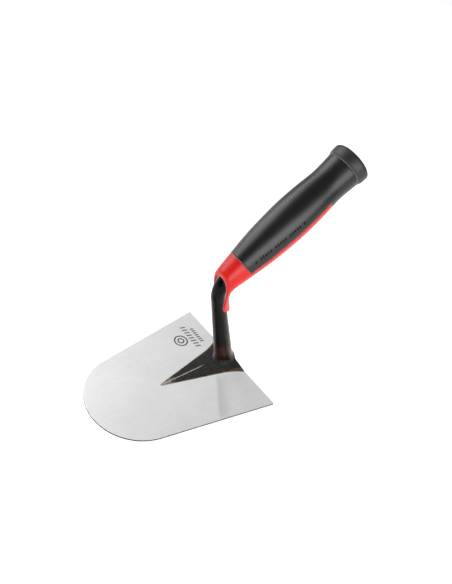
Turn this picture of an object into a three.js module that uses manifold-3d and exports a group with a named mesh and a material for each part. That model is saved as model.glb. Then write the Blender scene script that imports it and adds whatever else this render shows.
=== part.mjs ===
// Round-nosed flat trowel: a steel blade, a forged goose-neck shank whose tang runs through the
// handle, a red handle core, a black soft grip over it, and a butt cap that hides the riveted tang.
// Millimetres. +Z up, +X from the blade's nose towards the handle, y = 0 is the mirror plane.
// The origin is on the blade's underside, half way between its nose and its heel.

import * as THREE from "three";
import { mergeVertices } from "three/addons/utils/BufferGeometryUtils.js";
import Module from "manifold-3d";

const wasm = await Module();
wasm.setup();

// ---- Driving dimensions ----

const CLEARANCE = 0.3; // left between neighbours that are cut to each other

const BLADE_LENGTH = 136.2; // nose to heel
const HEEL_WIDTH = 119;
const SIDE_TAPER = THREE.MathUtils.degToRad(9.7); // each side narrows towards the nose by this angle
const BLADE_THICKNESS = 1.25;

const FOOT_LENGTH = 73; // from its tip on the blade back to the heel
const FOOT_TIP_HALF_WIDTH = 0.8;
const FOOT_HALF_WIDTH = 17.6; // at the heel, before the flare
const FOOT_FLARE = 3.6; // added to the half width over the last stretch
const FOOT_FLARE_LENGTH = 19;
const FOOT_RIM = 0.4; // thickness along the outline
const FOOT_CREST = 3.6; // rise of the ridge above the rim, at the heel
const FOOT_CREST_GROWTH = 1.3; // exponent of that rise along the foot

const NECK_SETBACK = 7.1; // from the heel to the neck's centre line, at the blade's top face
const NECK_LEAN = THREE.MathUtils.degToRad(19.7); // forward of upright
const NECK_RADIUS_LOW = 7.4; // where the root ends
const NECK_RADIUS_HIGH = 5.6; // at the bend
const BEND_HEIGHT = 95; // of the corner between the neck's line and the handle's line
const BEND_TANGENT = 14; // from that corner to each end of the bend
const ROOT_HEIGHT = 22; // stretch of the neck that spreads into the foot
const ROOT_FADE = 4; // height over which the spread shrinks to a third
const ROOT_SPREAD_FRONT = 3; // extra length at the blade, towards the nose
const ROOT_SPREAD_REAR = 15; // and towards the heel, where the heel's plane cuts it
const ROOT_SPREAD_WIDE = 1.6; // extra half width at the blade, across it

const HANDLE_PITCH = THREE.MathUtils.degToRad(39.8); // above the blade
const COLLAR_LENGTH = 24.3; // from the bend's corner to the front end of the grip
const COLLAR_BEND_RADIUS = 8.9; // half way round the bend
const COLLAR_TIP_RADIUS = 8.3; // round the neck, at the tongue's tip
const COLLAR_GAP = 0.6; // round the neck inside the collar
const COLLAR_SWELL = 10; // above the tongue's tip, where the collar starts to widen
const TONGUE_REACH = 30; // from the bend's corner down the neck to the tongue's tip
const TONGUE_SLANT = 8; // the tongue's edges end this much higher than its tip
const TONGUE_PADDLE = 18; // from the bend's corner down the neck to where the tongue is full width
const MOUTH_WAIST = 11; // and down to where the mouth's edge turns out towards it
const MOUTH_OFFSET_LOW = -1.1; // the mouth's edge in front of the neck's centre line, on the paddle
const MOUTH_OFFSET_WAIST = 1; // behind that line, at the waist
const MOUTH_OFFSET_HIGH = 4.8; // and where it leaves the collar's top
const MOUTH_TOP = 11; // of that place, above the bend's corner along the neck

const GRIP_LENGTH = 104.3;
const GRIP_FRONT_RADIUS = 12.1;
const GRIP_BELLY_RADIUS = 16.2;
const GRIP_WAIST_RADIUS = 14.35;
const GRIP_REAR_RADIUS = 15.3;
const BELLY_FROM_REAR = 52;
const WAIST_FROM_REAR = 17;
const SWELL_AT_THIRD = 0.55; // share of the front-to-belly swell reached a third of the way
const SWELL_AT_TWO_THIRDS = 0.86;
const FALL_AT_HALF = 0.35; // share of the belly-to-waist fall reached half way
const GRIP_WALL = 2.2;
const PANEL_RISE = 0.4; // the exposed underside panel reaches this far above the handle's axis
const PANEL_FROM_REAR = 25.5; // from the grip's rear end to the panel's rear end

const TANG_RADIUS = 3.5;
const TANG_HEAD_RADIUS = 4.6; // riveted over the washer
const TANG_HEAD_HEIGHT = 1.4;
const WASHER_RADIUS = 7.5;
const WASHER_THICKNESS = 1.2;

const CAP_LENGTH = 10.8;
const CAP_RADIUS = 16.6;
const CAP_FRONT_RADIUS = 15.6; // beside the grip's rear end
const CAP_SHOULDER = 2.2; // length over which it widens
const CAP_SHOULDER_DROP = 0.25; // radius still missing behind the shoulder
const CAP_EDGE_ROUND = 3;
const SPIGOT_STEP = 1.8; // from the core's rear radius down to the spigot that the cap sits on
const SPIGOT_LENGTH = 4;

const ROUND_SIDES = 36;
const NECK_SIDES = 20;
const NECK_STEPS = 28;
const COLLAR_STEPS = 24;
const ROOT_STEPS = 10;
const FOOT_STEPS_LONG = 12;
const FOOT_STEPS_WIDE = 6;
const NOSE_SEGMENTS = 30;
const EDGE_SEGMENTS = 6;
const GRIP_RINGS = 18;
const PANEL_ROOT = 2; // how far joined shapes of the core run into each other

// ---- Frame: points and directions that several pieces share ----

const ACROSS = new THREE.Vector3(0, 1, 0);
const HEEL_X = BLADE_LENGTH / 2;

const neckDirection = new THREE.Vector3(-Math.sin(NECK_LEAN), 0, Math.cos(NECK_LEAN));
const handleDirection = new THREE.Vector3(Math.cos(HANDLE_PITCH), 0, Math.sin(HANDLE_PITCH));
const neckBase = new THREE.Vector3(HEEL_X - NECK_SETBACK, 0, BLADE_THICKNESS);
const neckLength = (BEND_HEIGHT - BLADE_THICKNESS) / Math.cos(NECK_LEAN);
const bendCorner = neckBase.clone().addScaledVector(neckDirection, neckLength);
const gripFront = bendCorner.clone().addScaledVector(handleDirection, COLLAR_LENGTH);

const coreRearRadius = GRIP_REAR_RADIUS - GRIP_WALL - CLEARANCE;
const spigotRadius = coreRearRadius - SPIGOT_STEP;

// Lengths along the handle's axis, measured from the grip's front end.
const spigotEnd = GRIP_LENGTH + SPIGOT_LENGTH;
const washerStart = spigotEnd + CLEARANCE;
const headStart = washerStart + WASHER_THICKNESS + CLEARANCE;
const headEnd = headStart + TANG_HEAD_HEIGHT;
const panelEnd = GRIP_LENGTH - PANEL_FROM_REAR;

// The handle's own frame: +Z along its axis, +X to its underside.
const handleFrame = new THREE.Matrix4()
  .makeRotationY(Math.PI / 2 - HANDLE_PITCH)
  .setPosition(gripFront);
const intoHandle = handleFrame.clone().invert();

// The neck's frame: origin at the bend's corner, +Z up the neck, +X to its back.
const neckFrame = new THREE.Matrix4().makeRotationY(-NECK_LEAN).setPosition(bendCorner);

// ---- Solids ----

function solidOf(geometry) {
  const bare = geometry.clone();
  bare.deleteAttribute("normal");
  bare.deleteAttribute("uv");
  const merged = mergeVertices(bare, 1e-4);
  return new wasm.Manifold(
    new wasm.Mesh({
      numProp: 3,
      vertProperties: new Float32Array(merged.getAttribute("position").array),
      triVerts: new Uint32Array(merged.index.array),
    }),
  );
}

function geometryOf(solid) {
  const { vertProperties, triVerts } = solid.getMesh();
  const geometry = new THREE.BufferGeometry()
    .setAttribute("position", new THREE.BufferAttribute(vertProperties, 3))
    .setIndex(new THREE.BufferAttribute(triVerts, 1));
  geometry.computeVertexNormals();
  return geometry;
}

// Moves every vertex of a closed geometry to the place that shape(vertex) gives.
function reshape(geometry, shape) {
  const vertices = geometry.getAttribute("position");
  const vertex = new THREE.Vector3();
  for (let i = 0; i < vertices.count; i++) {
    const place = shape(vertex.fromBufferAttribute(vertices, i));
    vertices.setXYZ(i, place.x, place.y, place.z);
  }
  return geometry;
}

// A round bar along a path in the plane y = 0; radiusAt takes the share of the path run so far.
function roundBar(path, radiusAt, steps) {
  return reshape(new THREE.CylinderGeometry(1, 1, 1, NECK_SIDES, steps), ({ x, y, z }) => {
    const run = y + 0.5;
    const radius = radiusAt(run);
    const outward = path.getTangentAt(run).cross(ACROSS);
    return path
      .getPointAt(run)
      .addScaledVector(outward, radius * x)
      .addScaledVector(ACROSS, radius * z);
  });
}

// A turned piece on the +Z axis, from [distance along the axis, radius] pairs.
function turned(profile) {
  const points = profile.map(([along, radius]) => new THREE.Vector2(radius, along));
  return new THREE.LatheGeometry(points, ROUND_SIDES).rotateX(Math.PI / 2);
}

function cylinder(radius, from, to, sides = ROUND_SIDES) {
  return new THREE.CylinderGeometry(radius, radius, to - from, sides)
    .rotateX(Math.PI / 2)
    .translate(0, 0, (from + to) / 2);
}

function box(low, high) {
  const size = new THREE.Vector3().subVectors(high, low);
  const middle = new THREE.Vector3().addVectors(low, high).multiplyScalar(0.5);
  return new THREE.BoxGeometry(size.x, size.y, size.z).translate(middle.x, middle.y, middle.z);
}

// ---- The line that the neck and the tang follow ----

// From a point on the neck, a distance below the bend's corner, to a point on the handle's axis.
function shankPath(belowCorner, beyondCorner) {
  const start = bendCorner.clone().addScaledVector(neckDirection, -belowCorner);
  const bendStart = bendCorner.clone().addScaledVector(neckDirection, -BEND_TANGENT);
  const bendEnd = bendCorner.clone().addScaledVector(handleDirection, BEND_TANGENT);
  const end = bendCorner.clone().addScaledVector(handleDirection, beyondCorner);
  const path = new THREE.CurvePath();
  path.add(new THREE.LineCurve3(start, bendStart));
  path.add(new THREE.QuadraticBezierCurve3(bendStart, bendCorner, bendEnd));
  path.add(new THREE.LineCurve3(bendEnd, end));
  return path;
}

// ---- Blade ----

function bladeGeometry() {
  const heelHalf = HEEL_WIDTH / 2;
  const slope = Math.sin(SIDE_TAPER);
  // The nose is one arc that touches both sides and reaches the full length.
  const arcFromHeel = (BLADE_LENGTH - heelHalf * Math.cos(SIDE_TAPER)) / (1 - slope);
  const noseRadius = BLADE_LENGTH - arcFromHeel;
  const outline = new THREE.Shape();
  outline.moveTo(HEEL_X, -heelHalf);
  outline.lineTo(HEEL_X, heelHalf);
  outline.absarc(
    HEEL_X - arcFromHeel,
    0,
    noseRadius,
    Math.PI / 2 + SIDE_TAPER,
    1.5 * Math.PI - SIDE_TAPER,
  );
  outline.closePath();
  return new THREE.ExtrudeGeometry(outline, {
    depth: BLADE_THICKNESS,
    bevelEnabled: false,
    curveSegments: NOSE_SEGMENTS,
  });
}

// ---- Shank: foot, root, neck and tang in one forging ----

function footHalfWidth(fromTip) {
  const straight = THREE.MathUtils.lerp(
    FOOT_TIP_HALF_WIDTH,
    FOOT_HALF_WIDTH,
    fromTip / FOOT_LENGTH,
  );
  const intoFlare = Math.max(0, fromTip - (FOOT_LENGTH - FOOT_FLARE_LENGTH)) / FOOT_FLARE_LENGTH;
  return straight + FOOT_FLARE * intoFlare ** 2;
}

// An arrowhead lying on the blade, with a ridge along its middle.
function footGeometry() {
  const cells = new THREE.BoxGeometry(1, 1, 1, FOOT_STEPS_LONG, FOOT_STEPS_WIDE, 1);
  return reshape(cells, ({ x, y, z }) => {
    const fromTip = (x + 0.5) * FOOT_LENGTH;
    const side = 2 * y;
    const crest = FOOT_CREST * (fromTip / FOOT_LENGTH) ** FOOT_CREST_GROWTH;
    const rise = z > 0 ? FOOT_RIM + crest * (1 - Math.abs(side)) : 0;
    return new THREE.Vector3(
      HEEL_X - FOOT_LENGTH + fromTip,
      side * footHalfWidth(fromTip),
      BLADE_THICKNESS + rise,
    );
  });
}

// Level rings up the neck's leaning centre line, spread wide where they meet the foot.
function rootGeometry() {
  return reshape(new THREE.CylinderGeometry(1, 1, 1, NECK_SIDES, ROOT_STEPS), ({ x, y, z }) => {
    const height = (y + 0.5) * ROOT_HEIGHT;
    const spread = Math.exp(-height / ROOT_FADE);
    const centre = neckBase.x - height * Math.tan(NECK_LEAN);
    const reach = x > 0 ? ROOT_SPREAD_REAR : ROOT_SPREAD_FRONT;
    const halfLong = NECK_RADIUS_LOW / Math.cos(NECK_LEAN) + reach * spread;
    const halfWide = NECK_RADIUS_LOW + ROOT_SPREAD_WIDE * spread;
    return new THREE.Vector3(centre + halfLong * x, -halfWide * z, BLADE_THICKNESS + height);
  });
}

function neckRadius(belowCorner) {
  const low = neckLength - ROOT_HEIGHT;
  const share = (belowCorner - BEND_TANGENT) / (low - BEND_TANGENT);
  const held = THREE.MathUtils.clamp(share, 0, 1);
  return THREE.MathUtils.lerp(NECK_RADIUS_HIGH, NECK_RADIUS_LOW, held);
}

// The neck from inside its root, round the bend, to the shoulder where the tang starts.
// The hollow that holds it inside the collar is the same bar, larger all round by a margin.
function neckGeometry(margin, end) {
  const bottom = neckLength - ROOT_HEIGHT / 2;
  const path = shankPath(bottom, end);
  const length = path.getLength();
  return roundBar(path, (run) => neckRadius(bottom - run * length) + margin, NECK_STEPS);
}

function shankSolid() {
  const behindHeel = box(
    new THREE.Vector3(HEEL_X, -HEEL_WIDTH, -BLADE_THICKNESS),
    new THREE.Vector3(HEEL_X + HEEL_WIDTH, HEEL_WIDTH, BEND_HEIGHT / 2),
  );
  const tang = cylinder(TANG_RADIUS, -COLLAR_LENGTH / 2, headEnd, NECK_SIDES);
  const head = cylinder(TANG_HEAD_RADIUS, headStart, headEnd, NECK_SIDES);
  return solidOf(rootGeometry())
    .subtract(solidOf(behindHeel))
    .add(solidOf(footGeometry()))
    .add(solidOf(neckGeometry(0, COLLAR_LENGTH - CLEARANCE)))
    .add(solidOf(tang.applyMatrix4(handleFrame)))
    .add(solidOf(head.applyMatrix4(handleFrame)));
}

// ---- Handle pieces, in the handle's own frame ----

// The grip's outline as points of distance along the axis and radius.
function gripOutline() {
  const belly = GRIP_LENGTH - BELLY_FROM_REAR;
  const waist = GRIP_LENGTH - WAIST_FROM_REAR;
  const swell = (share) => THREE.MathUtils.lerp(GRIP_FRONT_RADIUS, GRIP_BELLY_RADIUS, share);
  const fall = (share) => THREE.MathUtils.lerp(GRIP_BELLY_RADIUS, GRIP_WAIST_RADIUS, share);
  const curve = new THREE.SplineCurve([
    new THREE.Vector2(0, GRIP_FRONT_RADIUS),
    new THREE.Vector2(belly / 3, swell(SWELL_AT_THIRD)),
    new THREE.Vector2(belly / 1.5, swell(SWELL_AT_TWO_THIRDS)),
    new THREE.Vector2(belly, GRIP_BELLY_RADIUS),
    new THREE.Vector2((belly + waist) / 2, fall(FALL_AT_HALF)),
    new THREE.Vector2(waist, GRIP_WAIST_RADIUS),
    new THREE.Vector2(GRIP_LENGTH, GRIP_REAR_RADIUS),
  ]);
  return curve.getPoints(GRIP_RINGS).map(({ x, y }) => [x, y]);
}

// The grip's outline moved inwards, run on at both ends and closed on the axis.
function gripFilled(inset, from, to) {
  const outline = gripOutline().map(([along, radius]) => [along, radius - inset]);
  const first = outline[0][1];
  const last = outline[outline.length - 1][1];
  const middle = outline.filter(([along]) => along > from && along < to);
  return turned([[from, 0], [from, first], ...middle, [to, last], [to, 0]]);
}

// Everything below the panel's upper edge, from in front of the grip to the panel's rear end.
function panelSpace(margin) {
  const reach = 2 * GRIP_BELLY_RADIUS;
  return box(
    new THREE.Vector3(-PANEL_RISE - margin, -reach, -PANEL_ROOT),
    new THREE.Vector3(reach, reach, panelEnd + margin),
  );
}

// The collar's outside: thin round the neck, swelling round the bend to the grip's front radius.
function collarGeometry() {
  const path = shankPath(TONGUE_REACH, COLLAR_LENGTH);
  const length = path.getLength();
  const swellStart = COLLAR_SWELL / length;
  const bendMiddle = (length + TONGUE_REACH - COLLAR_LENGTH) / (2 * length);
  const radiusAt = (run) => {
    const swell = THREE.MathUtils.smoothstep(run, swellStart, bendMiddle);
    const widening = THREE.MathUtils.clamp((run - bendMiddle) / (1 - bendMiddle), 0, 1);
    return COLLAR_TIP_RADIUS
      + (COLLAR_BEND_RADIUS - COLLAR_TIP_RADIUS) * swell
      + (GRIP_FRONT_RADIUS - COLLAR_BEND_RADIUS) * widening;
  };
  return roundBar(path, radiusAt, COLLAR_STEPS).applyMatrix4(intoHandle);
}

// What is cut away in front of the neck, so that the collar ends in a mouth and a tongue.
function mouthGeometry() {
  const far = 3 * GRIP_BELLY_RADIUS;
  const outline = new THREE.Shape();
  outline.moveTo(COLLAR_TIP_RADIUS, -TONGUE_REACH);
  outline.lineTo(MOUTH_OFFSET_LOW, TONGUE_SLANT - TONGUE_REACH);
  outline.lineTo(MOUTH_OFFSET_LOW, -TONGUE_PADDLE);
  outline.lineTo(MOUTH_OFFSET_WAIST, -MOUTH_WAIST);
  outline.lineTo(MOUTH_OFFSET_HIGH, MOUTH_TOP);
  outline.lineTo(-far, MOUTH_TOP + far);
  outline.lineTo(-far, -TONGUE_REACH - far);
  outline.lineTo(COLLAR_TIP_RADIUS, -TONGUE_REACH - far);
  outline.closePath();
  return new THREE.ExtrudeGeometry(outline, { depth: 2 * far, bevelEnabled: false })
    .rotateX(Math.PI / 2)
    .translate(0, far, 0)
    .applyMatrix4(neckFrame)
    .applyMatrix4(intoHandle);
}

function coreSolid() {
  const spigot = cylinder(spigotRadius, GRIP_LENGTH - PANEL_ROOT, spigotEnd);
  const bore = cylinder(TANG_RADIUS + CLEARANCE, -COLLAR_LENGTH, spigotEnd + CLEARANCE, NECK_SIDES);
  const neckHollow = neckGeometry(COLLAR_GAP, COLLAR_LENGTH).applyMatrix4(intoHandle);
  const panel = solidOf(gripFilled(0, -CLEARANCE, panelEnd)).intersect(solidOf(panelSpace(0)));
  return solidOf(collarGeometry())
    .subtract(solidOf(mouthGeometry()))
    .add(solidOf(gripFilled(GRIP_WALL + CLEARANCE, -PANEL_ROOT, GRIP_LENGTH)))
    .add(panel)
    .add(solidOf(spigot))
    .subtract(solidOf(bore))
    .subtract(solidOf(neckHollow));
}

function sleeveSolid() {
  return solidOf(gripFilled(0, CLEARANCE, GRIP_LENGTH))
    .subtract(solidOf(gripFilled(GRIP_WALL, -PANEL_ROOT, GRIP_LENGTH + PANEL_ROOT)))
    .subtract(solidOf(panelSpace(CLEARANCE)));
}

function washerGeometry() {
  const end = washerStart + WASHER_THICKNESS;
  const inner = TANG_RADIUS + CLEARANCE;
  return turned([
    [washerStart, inner],
    [washerStart, WASHER_RADIUS],
    [end, WASHER_RADIUS],
    [end, inner],
    [washerStart, inner],
  ]);
}

function capSolid() {
  const front = GRIP_LENGTH + CLEARANCE;
  const back = GRIP_LENGTH + CAP_LENGTH;
  const rounding = new THREE.Path()
    .absarc(CAP_RADIUS - CAP_EDGE_ROUND, back - CAP_EDGE_ROUND, CAP_EDGE_ROUND, 0, Math.PI / 2)
    .getPoints(EDGE_SEGMENTS)
    .map(({ x, y }) => [y, x]);
  const outside = turned([
    [front, 0],
    [front, CAP_FRONT_RADIUS],
    [front + CAP_SHOULDER, CAP_RADIUS - CAP_SHOULDER_DROP],
    ...rounding,
    [back, 0],
  ]);
  const pocket = cylinder(spigotRadius + CLEARANCE, front - CLEARANCE, headEnd + CLEARANCE);
  return solidOf(outside).subtract(solidOf(pocket));
}

// ---- The object ----

function part(name, geometry, color, roughness, metalness) {
  const material = new THREE.MeshStandardMaterial({ color, roughness, metalness });
  const mesh = new THREE.Mesh(geometry, material);
  mesh.name = name;
  return mesh;
}

const handle = new THREE.Group();
handle.rotation.y = Math.PI / 2 - HANDLE_PITCH;
handle.position.copy(gripFront);
handle.add(
  part("handle_core", geometryOf(coreSolid()), "#dc2822", 0.4, 0),
  part("grip_sleeve", geometryOf(sleeveSolid()), "#3c3c3a", 0.6, 0),
  part("tang_washer", washerGeometry(), "#9a9da0", 0.35, 1),
  part("butt_cap", geometryOf(capSolid()), "#454648", 0.55, 0),
);

const trowel = new THREE.Group();
trowel.add(
  part("blade", bladeGeometry(), "#d9dadb", 0.3, 1),
  part("shank", geometryOf(shankSolid()), "#1d1c1b", 0.3, 0.2),
  handle,
);

export default trowel;
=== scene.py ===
"""A round-nosed flat trowel: every piece's look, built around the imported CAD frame.

The blade, the shank, the handle core, the grip and the cap are each one class that builds
its mesh and gives it a finish. The washer inside the cap is the CAD node with a finish of
its own. Lengths are metres, written as millimetres times MM.
"""

import logging
import math
from dataclasses import dataclass
from enum import Enum
from typing import Callable, Iterable, Sequence

import bmesh
import bpy
from mathutils import Matrix, Vector


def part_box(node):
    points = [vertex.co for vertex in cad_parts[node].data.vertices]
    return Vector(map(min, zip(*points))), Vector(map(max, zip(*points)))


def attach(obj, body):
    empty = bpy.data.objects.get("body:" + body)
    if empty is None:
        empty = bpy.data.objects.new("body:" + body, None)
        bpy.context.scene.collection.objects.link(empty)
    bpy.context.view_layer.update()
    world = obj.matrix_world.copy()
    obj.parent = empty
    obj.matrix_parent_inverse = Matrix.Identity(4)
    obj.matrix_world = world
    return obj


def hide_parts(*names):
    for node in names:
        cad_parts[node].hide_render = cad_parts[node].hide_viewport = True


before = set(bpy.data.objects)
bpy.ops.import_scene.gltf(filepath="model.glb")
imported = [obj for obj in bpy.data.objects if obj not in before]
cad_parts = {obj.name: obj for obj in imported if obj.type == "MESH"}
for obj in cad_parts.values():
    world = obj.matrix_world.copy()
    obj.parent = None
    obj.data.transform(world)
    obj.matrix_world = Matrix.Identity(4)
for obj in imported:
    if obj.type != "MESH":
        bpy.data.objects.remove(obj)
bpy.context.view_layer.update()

MM = 0.001
LOG = logging.getLogger("trowel")
ACROSS = Vector((0.0, 1.0, 0.0))
UP = Vector((0.0, 0.0, 1.0))
Colour = tuple[float, float, float]


class Join(Enum):
    """How a tool body works on the body that it meets."""

    CUT = "DIFFERENCE"
    ADD = "UNION"


# ---- Meshes ----


def piece_of(name: str, body: bmesh.types.BMesh) -> bpy.types.Object:
    """Turns a bmesh into an object at the origin.

    Args:
        name: The object's name.
        body: The finished bmesh, which is freed.

    Returns:
        The new object, in the scene.
    """
    mesh = bpy.data.meshes.new(name)
    body.to_mesh(mesh)
    body.free()
    piece = bpy.data.objects.new(name, mesh)
    bpy.context.scene.collection.objects.link(piece)
    return piece


def settle(piece: bpy.types.Object) -> None:
    """Applies every modifier of a piece, and drops the empty slots a cut leaves."""
    depsgraph = bpy.context.evaluated_depsgraph_get()
    depsgraph.update()
    mesh = bpy.data.meshes.new_from_object(piece.evaluated_get(depsgraph))
    piece.modifiers.clear()
    before = piece.data
    piece.data = mesh
    mesh.materials.clear()
    bpy.data.meshes.remove(before)


def work(piece: bpy.types.Object, join: Join, tool: bpy.types.Object) -> None:
    """Cuts a tool body out of a piece, or adds it, and removes the tool.

    Args:
        piece: The body that is changed.
        join: What is done.
        tool: The other body.
    """
    step = piece.modifiers.new(join.name, "BOOLEAN")
    step.operation = join.value
    step.solver = "MANIFOLD"
    step.object = tool
    settle(piece)
    bpy.data.objects.remove(tool)


def merged(name: str, bodies: Iterable[bpy.types.Object]) -> bpy.types.Object:
    """Puts several bodies into one mesh and removes them.

    Args:
        name: The new object's name.
        bodies: The bodies, which may overlap.

    Returns:
        One object that holds all of them.
    """
    whole = bmesh.new()
    for body in list(bodies):
        whole.from_mesh(body.data)
        bpy.data.objects.remove(body)
    return piece_of(name, whole)


def skinned(piece: bpy.types.Object, grain: float, passes: int) -> None:
    """Gives overlapping bodies one even skin with softly rounded edges.

    Args:
        piece: The object, which may hold several overlapping closed bodies.
        grain: The skin's face size.
        passes: How many times the skin is smoothed.
    """
    skin = piece.modifiers.new("Skin", "REMESH")
    skin.mode = "VOXEL"
    skin.voxel_size = grain
    skin.use_smooth_shade = True
    soften = piece.modifiers.new("Soften", "SMOOTH")
    soften.factor = 0.5
    soften.iterations = passes
    settle(piece)
    piece.data.shade_smooth()


def softened(
    piece: bpy.types.Object, near: Callable[[Vector], float], passes: int
) -> None:
    """Smooths a skin further where a weight says so.

    Args:
        piece: The object.
        near: The weight of a point, from 0 to 1.
        passes: How many times the points are smoothed.
    """
    zone = piece.vertex_groups.new(name="zone")
    for vert in piece.data.vertices:
        weight = near(vert.co)
        if weight > 0.0:
            zone.add([vert.index], weight, "REPLACE")
    soften = piece.modifiers.new("Soften", "SMOOTH")
    soften.factor = 0.5
    soften.iterations = passes
    soften.vertex_group = zone.name
    settle(piece)
    piece.vertex_groups.clear()


def ring_place(centre: Vector, heading: Vector, long: float, wide: float) -> Matrix:
    """The placement that turns a unit circle into a ring of a bar.

    Args:
        centre: The ring's centre.
        heading: The bar's direction there.
        long: The half size in the mirror plane.
        wide: The half size across it.

    Returns:
        A 4x4 matrix.
    """
    side = ACROSS.cross(heading).normalized()
    turn = Matrix((side * long, ACROSS * wide, heading)).transposed().to_4x4()
    return Matrix.Translation(centre) @ turn


def swept(rings: Sequence[Matrix], sides: int) -> bmesh.types.BMesh:
    """A closed bar through rings.

    Args:
        rings: The placement of each ring, in order.
        sides: How many sides the bar has.

    Returns:
        The closed bar.
    """
    bar = bmesh.new()
    bmesh.ops.create_circle(bar, segments=sides, radius=1.0, matrix=rings[0])
    edges = bar.edges[:]
    for before, after in zip(rings, rings[1:]):
        grown = bmesh.ops.extrude_edge_only(bar, edges=edges)["geom"]
        fresh = {item for item in grown if isinstance(item, bmesh.types.BMVert)}
        edges = [
            item
            for item in grown
            if isinstance(item, bmesh.types.BMEdge) and set(item.verts) <= fresh
        ]
        move = after @ before.inverted()
        bmesh.ops.transform(bar, matrix=move, verts=list(fresh))
    bmesh.ops.holes_fill(bar, edges=bar.edges[:], sides=0)
    bmesh.ops.recalc_face_normals(bar, faces=bar.faces[:])
    return bar


def turned(profile: Sequence[tuple[float, float]], sides: int) -> bmesh.types.BMesh:
    """A body turned on +Z.

    Args:
        profile: Pairs of distance along the axis and radius, open at the axis or closed.
        sides: How many sides the body has.

    Returns:
        The turned body.
    """
    lathe = bmesh.new()
    points = [lathe.verts.new((radius, 0.0, along)) for along, radius in profile]
    chain = list(zip(points, points[1:]))
    if min(radius for _, radius in profile) > 0.0:
        chain.append((points[-1], points[0]))
    edges = [lathe.edges.new(pair) for pair in chain]
    bmesh.ops.spin(
        lathe,
        geom=points + edges,
        cent=(0.0, 0.0, 0.0),
        axis=(0.0, 0.0, 1.0),
        angle=math.tau,
        steps=sides,
        use_merge=True,
    )
    bmesh.ops.remove_doubles(lathe, verts=lathe.verts[:], dist=0.001 * MM)
    bmesh.ops.recalc_face_normals(lathe, faces=lathe.faces[:])
    return lathe


def halved(body: bmesh.types.BMesh, point: Vector, outward: Vector) -> bmesh.types.BMesh:
    """Keeps what is behind a plane, and closes the cut.

    Args:
        body: A closed body.
        point: A point of the plane.
        outward: The plane's normal, on the side that goes.

    Returns:
        The same bmesh, closed.
    """
    bmesh.ops.bisect_plane(
        body,
        geom=body.verts[:] + body.edges[:] + body.faces[:],
        plane_co=point,
        plane_no=outward,
        clear_outer=True,
    )
    bmesh.ops.holes_fill(body, edges=body.edges[:], sides=0)
    bmesh.ops.recalc_face_normals(body, faces=body.faces[:])
    return body


def block(low: Vector, high: Vector) -> bmesh.types.BMesh:
    """A plain block between two corners, as a cutting tool."""
    body = bmesh.new()
    place = Matrix.Translation((low + high) / 2) @ Matrix.Diagonal(high - low).to_4x4()
    bmesh.ops.create_cube(body, size=1.0, matrix=place)
    return body


def placed(body: bmesh.types.BMesh, place: Matrix) -> bmesh.types.BMesh:
    """Moves a whole bmesh and returns it."""
    bmesh.ops.transform(body, matrix=place, verts=body.verts[:])
    return body


def eased(share: float) -> float:
    """Smoothstep of a share, held between 0 and 1."""
    held = min(max(share, 0.0), 1.0)
    return held * held * (3.0 - 2.0 * held)


# ---- Where things are ----


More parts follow.
